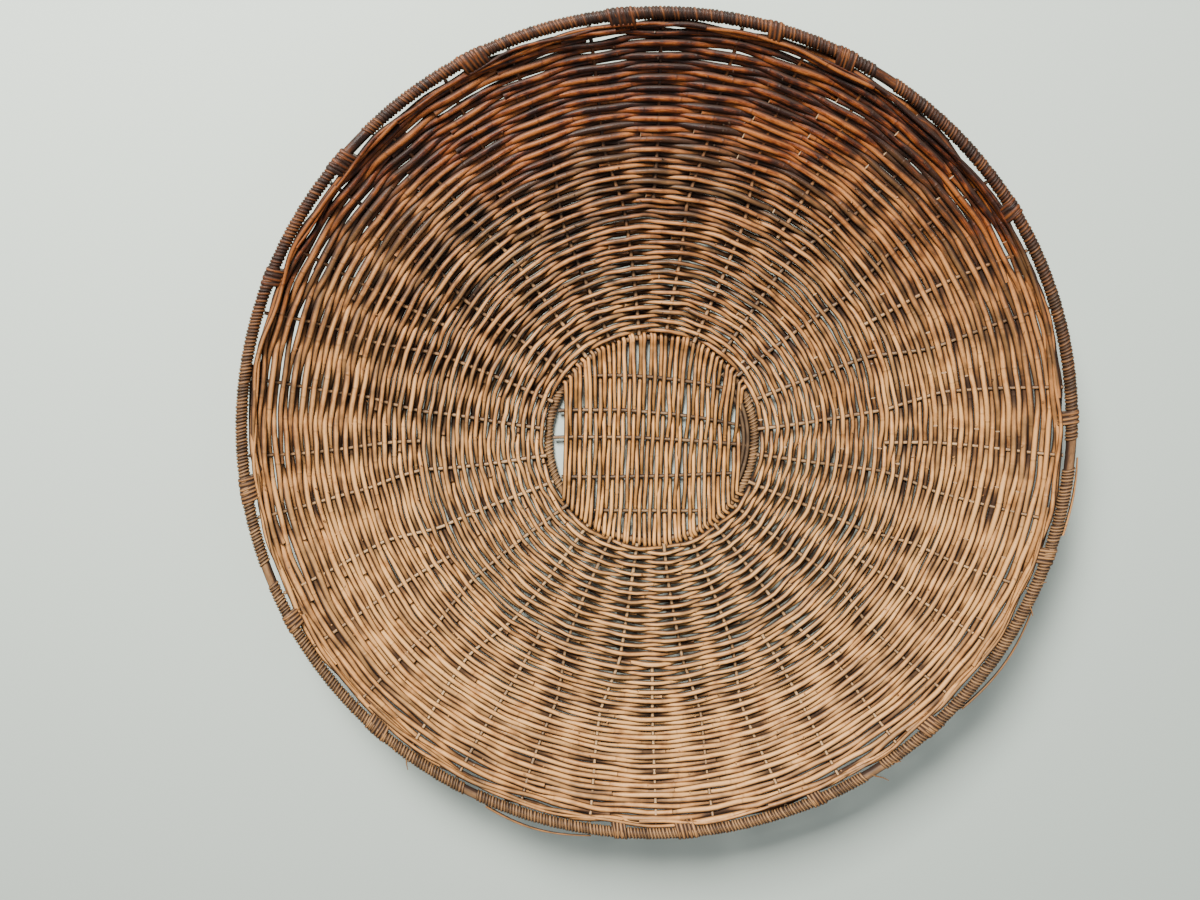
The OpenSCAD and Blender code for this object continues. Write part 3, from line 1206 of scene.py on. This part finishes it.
@dataclass
class Stakes:
    """The stakes that fan out from the centre hoop to the rim.

    Args:
        wall: The basket's wall.
        thickness: Thickness of a stake at its butt.
        tip: Thickness at its tip, as a share of that.
        steps: Number of straight stretches along a stake.
    """

    wall: Wall
    thickness: float = 5 * MM
    tip: float = 0.8
    steps: int = 36

    def _stake(self, rods: RodMesh, i: int, full: bool, rng: random.Random) -> None:
        """Model one stake.

        Args:
            rods: Mesh to add to.
            i: Number of the stake among those at its inner end.
            full: Whether it is one of the stakes added at the seam.
            rng: Source of its small differences.
        """
        w = self.wall
        start = w.seam + 1 * MM if full else w.tail_r
        room = w.rim_tube + w.lapping + 0.4 * MM
        end = w.rim_r - room / math.hypot(1, w.slope(w.rim_r))
        stations = []
        for n in range(self.steps + 1):
            t = n / self.steps
            r = mix(start, end, t)
            number = i
            if not full and r >= w.seam:
                number = 3 * (i // 2) + (0 if i % 2 == 0 else 2)
            a = w.stake_angle(number, r)
            radius = self.thickness / 2 * mix(1.0, self.tip, t)
            stations.append(Station(w.point(r, a), w.up(r, a), radius))
        rods.add(stations, rng.random(), rng.random() * 3)

    def build(self) -> None:
        """Model and dress both sets of stakes."""
        rng = random.Random(31)
        rods = RodMesh(sides=10)
        for i in range(2 * self.wall.groups):
            self._stake(rods, i, False, rng)
        rods.piece("main_stakes_bark", Willow.STAKE, ["main_stakes"])
        rods = RodMesh(sides=10)
        for g in range(self.wall.groups):
            self._stake(rods, 3 * g + 1, True, rng)
        rods.piece("added_stakes_bark", Willow.STAKE, ["added_stakes"])


@dataclass
class Weaving:
    """The rounds of weaving, in pairs of which one passes over what the other passes under.

    Args:
        wall: The basket's wall.
        inner_rod: Thickness of the rods inside the seam.
        outer_rod: Thickness of the rods outside the seam.
        swell: How much thicker the round rods are than the square ones they follow.
        inner_rounds: Rounds inside the seam.
        outer_rounds: Rounds outside the seam.
        steps: Stations from one stake to the next.
        outer_swell: How much thicker still the outermost rods are.
        swings: How far a rod swings over a stake, near the centre and near the rim,
            as a share of both their thicknesses.
        taper: Thickness at the butt and the tip of a rod.
        snug_swell: How much thicker rods are where they are packed snugly.
        snug_press: How much less they swing there.
        loose: How far a rod strays, near the centre and at the rim.
        knobbly: How uneven a rod's thickness is.
        stub_spacing: Stations to each stub of a side shoot.
        few_rods: Radii within which two and three rods make up a round.
        thickens: Start and length of the zone in which rods grow to the outer swell.
        flattens: The same for the swing near the rim.
        packs: The same for the snug part, measured towards the top.
        strays: The same for straying, measured from the rim.
        end_reach: Length over which a rod's ends leave its line, in stakes.
        end_lifts: How far its butt and its tip do so, as shares of its thickness.
    """

    wall: Wall
    inner_rod: float = 4.4 * MM
    outer_rod: float = 4.8 * MM
    swell: float = 1.26
    inner_rounds: int = 26
    outer_rounds: int = 34
    steps: int = 7
    outer_swell: float = 1.15
    swings: tuple = (0.92, 0.56)
    taper: tuple = (1.06, 0.86)
    snug_swell: float = 0.07
    snug_press: float = 0.32
    loose: tuple = (0.8 * MM, 4.4 * MM)
    knobbly: float = 0.05
    stub_spacing: int = 26
    few_rods: tuple = (200 * MM, 330 * MM)
    thickens: tuple = (280 * MM, 100 * MM)
    flattens: tuple = (240 * MM, 120 * MM)
    packs: tuple = (200 * MM, 140 * MM)
    strays: tuple = (-35 * MM, 30 * MM)
    end_reach: float = 0.9
    end_lifts: tuple = (-0.75, 0.5)

    def radius(self, j: int) -> float:
        """Return the radius of a round.

        Args:
            j: Number of the round, from the centre.

        Returns:
            Its radius, in metres.
        """
        w = self.wall
        gap = (self.inner_rod + self.outer_rod) / 2 + 1 * MM
        first = w.tail_r + self.inner_rod
        if j < self.inner_rounds:
            return first + j * (w.seam - gap / 2 - first) / (self.inner_rounds - 1)
        start = w.seam + gap / 2
        last = w.rim_r - w.rim_tube - w.lapping - self.outer_rod
        pitch = w.arc(start, last) / (self.outer_rounds - 1)
        return w.along(start, (j - self.inner_rounds) * pitch)

    def build(self) -> None:
        """Model and dress every pair of rounds."""
        rng = random.Random(47)
        for pair in range((self.inner_rounds + self.outer_rounds) // 2):
            rods = RodMesh(sides=10)
            for j in (2 * pair, 2 * pair + 1):
                self._round(rods, j, rng)
            name = f"weft_pair_{pair + 1:02d}"
            rods.piece(name + "_bark", Willow.WEAVING, [name])

    def _round(self, rods: RodMesh, j: int, rng: random.Random) -> None:
        """Model the rods of one round, laid end to end.

        Args:
            rods: Mesh to add to.
            j: Number of the round, from the centre.
            rng: Source of the rods' small differences.
        """
        r = self.radius(j)
        n = self.wall.stakes_at(r)
        count = 2 + sum(r >= limit for limit in self.few_rods)
        shift = (j * 7) % n
        start = shift + (shift + j + 1) % 2
        step = 2 * (n // count // 2)
        for k in range(count):
            last = start + n if k == count - 1 else start + (k + 1) * step
            self._rod(rods, j, r, start + k * step, last, rng)

    def _rod(self, rods: RodMesh, j: int, r: float, first: int, last: int,
             rng: random.Random) -> None:
        """Model one rod, woven over and under the stakes.

        Args:
            rods: Mesh to add to.
            j: Number of its round.
            r: Radius of its round.
            first: Stake at which it starts.
            last: Stake at which it ends.
            rng: Source of its small differences.
        """
        w = self.wall
        thick = self.inner_rod if j < self.inner_rounds else self.outer_rod
        thick *= self.swell * rng.uniform(0.88, 1.06)
        thick *= mix(1.0, self.outer_swell, eased(r, self.thickens))
        swing = (w.stake + thick) / 2 * mix(*self.swings, eased(r, self.flattens))
        before, beyond = rng.uniform(0.1, 0.25), rng.uniform(0.2, 0.45)
        length = last - first + before + beyond
        own = rng.random() * 50
        loose = mix(*self.loose, eased(r - w.rim_r, self.strays))
        stations = []
        for n in range(round(length * self.steps) + 1):
            place = first - before + min(n / self.steps, length)
            i = math.floor(place)
            a = mix(w.stake_angle(i, r), w.stake_angle(i + 1, r), place - i)
            depth = (1 if (i + j) % 2 == 0 else -1) * math.cos(math.pi * (place - i))
            snug = eased(r * math.sin(a), self.packs)
            lift = swing * depth * (1 - self.snug_press * snug)
            head = max(0.0, 1 - (place - first + before) / self.end_reach)
            tail = max(0.0, 1 - (last + beyond - place) / self.end_reach)
            lift += thick * (self.end_lifts[0] * head + self.end_lifts[1] * tail)
            here = r + w.drift(r, a) + loose * uneven(a * 9.0, own, j * 0.37)
            radius = thick / 2 * mix(*self.taper, n / (length * self.steps))
            radius *= 1 + self.knobbly * uneven(a * 40.0, own, 3.0)
            radius *= 1 + self.snug_swell * snug
            # Painted shade beneath stakes, made stronger or weaker at random along the rod.
            shaded = depth * (0.62 + 1.1 * uneven(a * 6.0, own, 7.0))
            stations.append(Station(w.point(here, a, lift), w.up(here, a), radius, shaded))
        tone = rng.random()
        rods.add(stations, tone, rng.random() * 3)
        for _ in range(round(len(stations) / self.stub_spacing)):
            self._stub(rods, rng.choice(stations[2:-2]), tone * 0.6, rng)

    def _stub(self, rods: RodMesh, at: Station, tone: float, rng: random.Random) -> None:
        """Model the stub of a trimmed side shoot.

        Args:
            rods: Mesh to add to.
            at: Ring of the rod that it grows from.
            tone: Tone of its bark.
            rng: Source of its direction and length.
        """
        side = Vector((rng.uniform(-1, 1), rng.uniform(-1, 1), 0.0)) * 0.9
        run = (at.up + side).normalized()
        length = at.radius + rng.uniform(0.5, 1.4) * MM
        across = run.orthogonal()
        stations = [Station(at.point + run * (length * t), across, mix(1.7, 1.0, t) * MM)
                    for t in (0.35, 0.7, 1.0)]
        rods.add(stations, tone, 0.0, 0.15)


@dataclass
class Rim:
    """The rim hoop with its lapping, its bindings and the loose rods beside it.

    Args:
        wall: The basket's wall.
        last_round: Radius of the outermost round of weaving.
        lapped: Stretches of complete lapping, in degrees.
        binding: Thickness of a binding over the lapping.
        bindings: Middles of the coarse bindings, in degrees.
        binding_arc: Length of a binding, in degrees.
        strays: Start, end and reach of each rod sprung out, in degrees and millimetres.
        loose: Start and end of each rod that wanders along the rim, in degrees, and
            how many rounds outside the outermost one it lies.
        twigs: Place, lean and length of each broken end, in degrees and millimetres.
    """

    wall: Wall
    last_round: float
    lapped: tuple = ((2, 58), (61, 132), (136, 196), (199, 241), (243, 303), (306, 358))
    binding: float = 1.0 * MM
    bindings: tuple = (
        5, 35, 65, 75, 95, 115, 137, 155, 185, 205, 225, 265, 275, 295, 315, 345)
    binding_arc: float = 4.0
    strays: tuple = ((245, 261, 8), (320, 337, 7), (348.5, 359.5, 3))
    loose: tuple = (
        (8, 74, 0.5), (22, 60, 0.5), (60, 128, 0.5), (84, 118, 0.5), (96, 150, 0.5),
        (128, 176, 0.5), (140, 214, 0.5), (168, 206, 0.5), (205, 262, 0.5), (222, 250, 0.5),
        (236, 300, 0.5), (268, 310, 0.5), (288, 352, 0.5), (312, 340, 0.5), (326, 372, 0.5),
        (346, 386, 0.5),
        (12, 66, -0.7), (50, 112, -0.6), (100, 146, -0.7), (132, 188, -0.6), (176, 232, -0.8),
        (30, 82, -1.8), (76, 134, -1.7), (118, 172, -1.9), (44, 96, -2.9), (92, 140, -3.0),
        (18, 58, -3.1), (128, 164, -2.8), (62, 108, -4.2), (26, 70, -4.8), (104, 152, -4.5))
    twigs: tuple = (
        (231, 40, 17), (228, 68, 12), (304, 38, 20), (307, 62, 13), (338, -48, 14), (341, 40, 9))

    def build(self) -> None:
        """Model and dress every piece of the rim."""
        self._hoop()
        self._lapping()
        self._bindings()
        self._strays()

    def _hoop(self) -> None:
        """Model the bent rod of the rim."""
        w = self.wall
        rods = RodMesh(sides=14)
        rods.hoop(w.rim_r, w.rim_z, w.rim_tube, steps=360, tone=0.5)
        rods.piece("rim_hoop_rod", Willow.HOOP, ["rim_hoop"])

    def _lapping(self) -> None:
        """Lay the fine split willow round the rim."""
        w = self.wall
        rods = RodMesh(sides=12)
        rng = random.Random(61)
        half = w.rim_tube + w.lapping
        for start, end in self.lapped:
            Lapping(w.rim_r, w.rim_z, start, end, pitch=3.6 * MM, half_width=half,
                    half_height=half, groove=1.5 * MM, lean=1.9 * MM).lay(rods, rng)
        rods.piece("rim_lapping_willow", Willow.LAPPING, ["rim_lapping"])

    def _bindings(self) -> None:
        """Lay the coarse bindings round the rim and the outermost round."""
        w = self.wall
        rods = RodMesh(sides=16)
        rng = random.Random(67)
        half = w.rim_tube + w.lapping + self.binding
        tilt = math.atan(w.slope(w.rim_r))
        gap = (w.rim_r - self.last_round) / math.cos(tilt)
        wide = (half + gap + 1.5 * MM) / 2
        inward = wide - half
        for middle in self.bindings:
            arc = self.binding_arc * rng.uniform(0.45, 0.95)
            Lapping(w.rim_r, w.rim_z, middle - arc / 2, middle + arc / 2, pitch=4.4 * MM,
                    half_width=wide, half_height=half, groove=1.2 * MM, lean=2.2 * MM,
                    offset=(-inward * math.cos(tilt), -inward * math.sin(tilt)),
                    tilt=tilt).lay(rods, rng)
        rods.piece("rim_bindings_willow", Willow.BINDING, ["rim_bindings"])

    def _strays(self) -> None:
        """Model the loose rods that have sprung out round the rim."""
        w = self.wall
        rods = RodMesh(sides=8)
        rng = random.Random(71)
        outside = w.rim_r + w.rim_tube + w.lapping
        steps = 40
        for start, end, reach in self.strays:
            stations = []
            for n in range(steps + 1):
                t = n / steps
                bow = math.sin(math.pi * t)
                r = outside + 1.5 * MM + reach * MM * bow
                point = polar(r, math.radians(mix(start, end, t)), w.rim_z - 3 * MM * bow)
                stations.append(Station(point, UPRIGHT, mix(1.7, 0.9, t) * MM))
            rods.add(stations, rng.random(), rng.random())
        for start, end, place in self.loose:
            self._loose(rods, start, end, place, rng)
        for place, lean, length in self.twigs:
            self._twig(rods, place, lean, length, rng)
        rods.piece("stray_rods_bark", Willow.WEAVING, ["stray_rods"])

    def _loose(self, rods: RodMesh, start: float, end: float, place: float,
               rng: random.Random) -> None:
        """Model a rod that wanders between the outermost round and the rim.

        Args:
            rods: Mesh to add to.
            start: Angle of its butt, in degrees.
            end: Angle of its tip, in degrees.
            place: How many rounds outside the outermost one it lies.
            rng: Source of its small differences.
        """
        w = self.wall
        own = rng.random() * 40
        outermost = w.rim_r - w.rim_tube - w.lapping
        level = (4.5 if place > 0 else -1.5) * MM
        steps = round((end - start) * 1.5)
        stations = []
        for n in range(steps + 1):
            a = math.radians(mix(start, end, n / steps))
            sway = 1.1 * uneven(a * 7.0, own, 0.3)
            lift = level + 4 * MM * uneven(a * 5.0, own, 8.3)
            here = mix(self.last_round, outermost, place + sway)
            radius = mix(2.7, 1.5, n / steps) * MM
            stations.append(Station(w.point(here, a, lift), w.up(here, a), radius))
        rods.add(stations, rng.random(), rng.random() * 3)

    def _twig(self, rods: RodMesh, place: float, lean: float, length: float,
              rng: random.Random) -> None:
        """Model a thin broken end that sticks out past the rim.

        Args:
            rods: Mesh to add to.
            place: Its angle, in degrees.
            lean: How far it leans along the rim, in degrees.
            length: Its length in millimetres.
            rng: Source of its small differences.
        """
        w = self.wall
        a = math.radians(place)
        foot = polar(w.rim_r + w.rim_tube - 6 * MM, a, w.rim_z + 4 * MM)
        run = polar(1.0, a + math.radians(lean), 0.12)
        across = Vector((-run.y, run.x, 0))
        steps = 8
        stations = []
        for n in range(steps + 1):
            t = n / steps
            side = 1.5 * MM * uneven(place, t * 2.5, 0.7)
            point = foot + run * (t * length * MM) + across * side
            stations.append(Station(point, UPRIGHT, mix(1.1, 0.45, t) * MM))
        rods.add(stations, rng.random() * 0.4, rng.random())


# --------------------------------------------------------------------------
# Studio
# --------------------------------------------------------------------------

@dataclass
class Studio:
    """Pale floor, soft lights, and the camera above the basket.

    Args:
        wall: The basket's wall, which gives the rim's place.
        distance: Distance from the camera to the rim's middle, along its axis.
        tip: How far the camera's axis leans off the vertical, in degrees.
        aside: Place of the rim's middle right of the camera's axis.
        below: Place of the rim's middle above the camera's axis.
        lens: Focal length on the sensor, in millimetres.
        sensor: Width of the sensor, in millimetres.
        floor: Colour of the floor.
        floor_size: Half the width of the floor.
        lamps: Name, place, size, power and colour of each light.
        room: Colour and strength of the light that fills the room.
    """

    wall: Wall
    distance: float = 0.945
    tip: float = -9.4
    aside: float = 0.059
    below: float = -0.004
    lens: float = 27.06
    sensor: float = 36.0
    floor: Colour = (0.57, 0.65, 0.59)
    floor_size: float = 6.0
    lamps: tuple = (
        ("key", (-0.7, 1.7, 1.9), 0.9, 200, (1.0, 0.97, 0.92)),
        ("fill", (1.6, -1.0, 2.0), 2.0, 14, (0.95, 0.98, 1.0)))
    room: tuple = ((0.95, 0.97, 1.0), 0.27)

    def build(self) -> None:
        """Set up the floor, lights and camera."""
        self._floor()
        self._lights()
        self._camera()

    def _floor(self) -> None:
        """Lay a plain pale floor."""
        bm = bmesh.new()
        bmesh.ops.create_grid(bm, x_segments=1, y_segments=1, size=self.floor_size)
        mesh = bpy.data.meshes.new("floor")
        bm.to_mesh(mesh)
        bm.free()
        floor = bpy.data.objects.new("floor", mesh)
        bpy.context.scene.collection.objects.link(floor)
        material = bpy.data.materials.new("pale_floor")
        material.use_nodes = True
        g = Graph(material.node_tree)
        nodes = material.node_tree.nodes
        shader = nodes["Principled BSDF"]
        shader.inputs["Base Color"].default_value = rgba(self.floor)
        shader.inputs["Roughness"].default_value = 0.9
        facing = g.add("ShaderNodeNewGeometry")
        clear = nodes.new("ShaderNodeBsdfTransparent")
        swap = nodes.new("ShaderNodeMixShader")
        g.feed(swap.inputs[0], facing.outputs["Backfacing"])
        g.feed(swap.inputs[1], shader.outputs[0])
        g.feed(swap.inputs[2], clear.outputs[0])
        g.feed(nodes["Material Output"].inputs["Surface"], swap.outputs[0])
        mesh.materials.append(material)

    def _area(self, name: str, place: tuple, size: float, power: float,
              colour: Colour) -> None:
        """Hang a square soft light that looks at the basket.

        Args:
            name: Name of the light.
            place: Where it hangs.
            size: Side of the square.
            power: Its power in watts.
            colour: Colour of the light.
        """
        lamp = bpy.data.lights.new(name, "AREA")
        lamp.size = size
        lamp.energy = power
        lamp.color = colour
        thing = bpy.data.objects.new(name, lamp)
        thing.location = place
        aim = Vector((0, 0, self.wall.rim_z / 2)) - Vector(place)
        thing.rotation_euler = aim.to_track_quat("-Z", "Y").to_euler()
        bpy.context.scene.collection.objects.link(thing)

    def _lights(self) -> None:
        """Hang a soft key light above the far side and a fill, and light the room."""
        for lamp in self.lamps:
            self._area(*lamp)
        world = bpy.data.worlds.new("soft_room")
        world.use_nodes = True
        shade = world.node_tree.nodes["Background"]
        shade.inputs["Color"].default_value = rgba(self.room[0])
        shade.inputs["Strength"].default_value = self.room[1]
        bpy.context.scene.world = world

    def _camera(self) -> None:
        """Place the camera above the open side, leaning a little."""
        t = math.radians(self.tip)
        right = Vector((1, 0, 0))
        up = Vector((0, math.cos(t), math.sin(t)))
        ahead = Vector((0, math.sin(t), -math.cos(t)))
        middle = Vector((0, 0, self.wall.rim_z))
        camera = bpy.data.cameras.new("camera")
        camera.lens = self.lens
        camera.sensor_width = self.sensor
        camera.clip_start = 0.01
        thing = bpy.data.objects.new("camera", camera)
        thing.location = middle - self.aside * right - self.below * up - self.distance * ahead
        thing.rotation_euler = (t, 0.0, 0.0)
        bpy.context.scene.collection.objects.link(thing)
        bpy.context.scene.camera = thing


WARDROBE = Wardrobe()


def main() -> None:
    """Build the basket and its studio."""
    logging.basicConfig(level=logging.INFO)
    wall = Wall()
    CentrePanel(wall).build()
    Stakes(wall).build()
    weaving = Weaving(wall)
    weaving.build()
    Rim(wall, weaving.radius(weaving.inner_rounds + weaving.outer_rounds - 1)).build()
    Studio(wall).build()


if __name__ == "__main__":
    main()
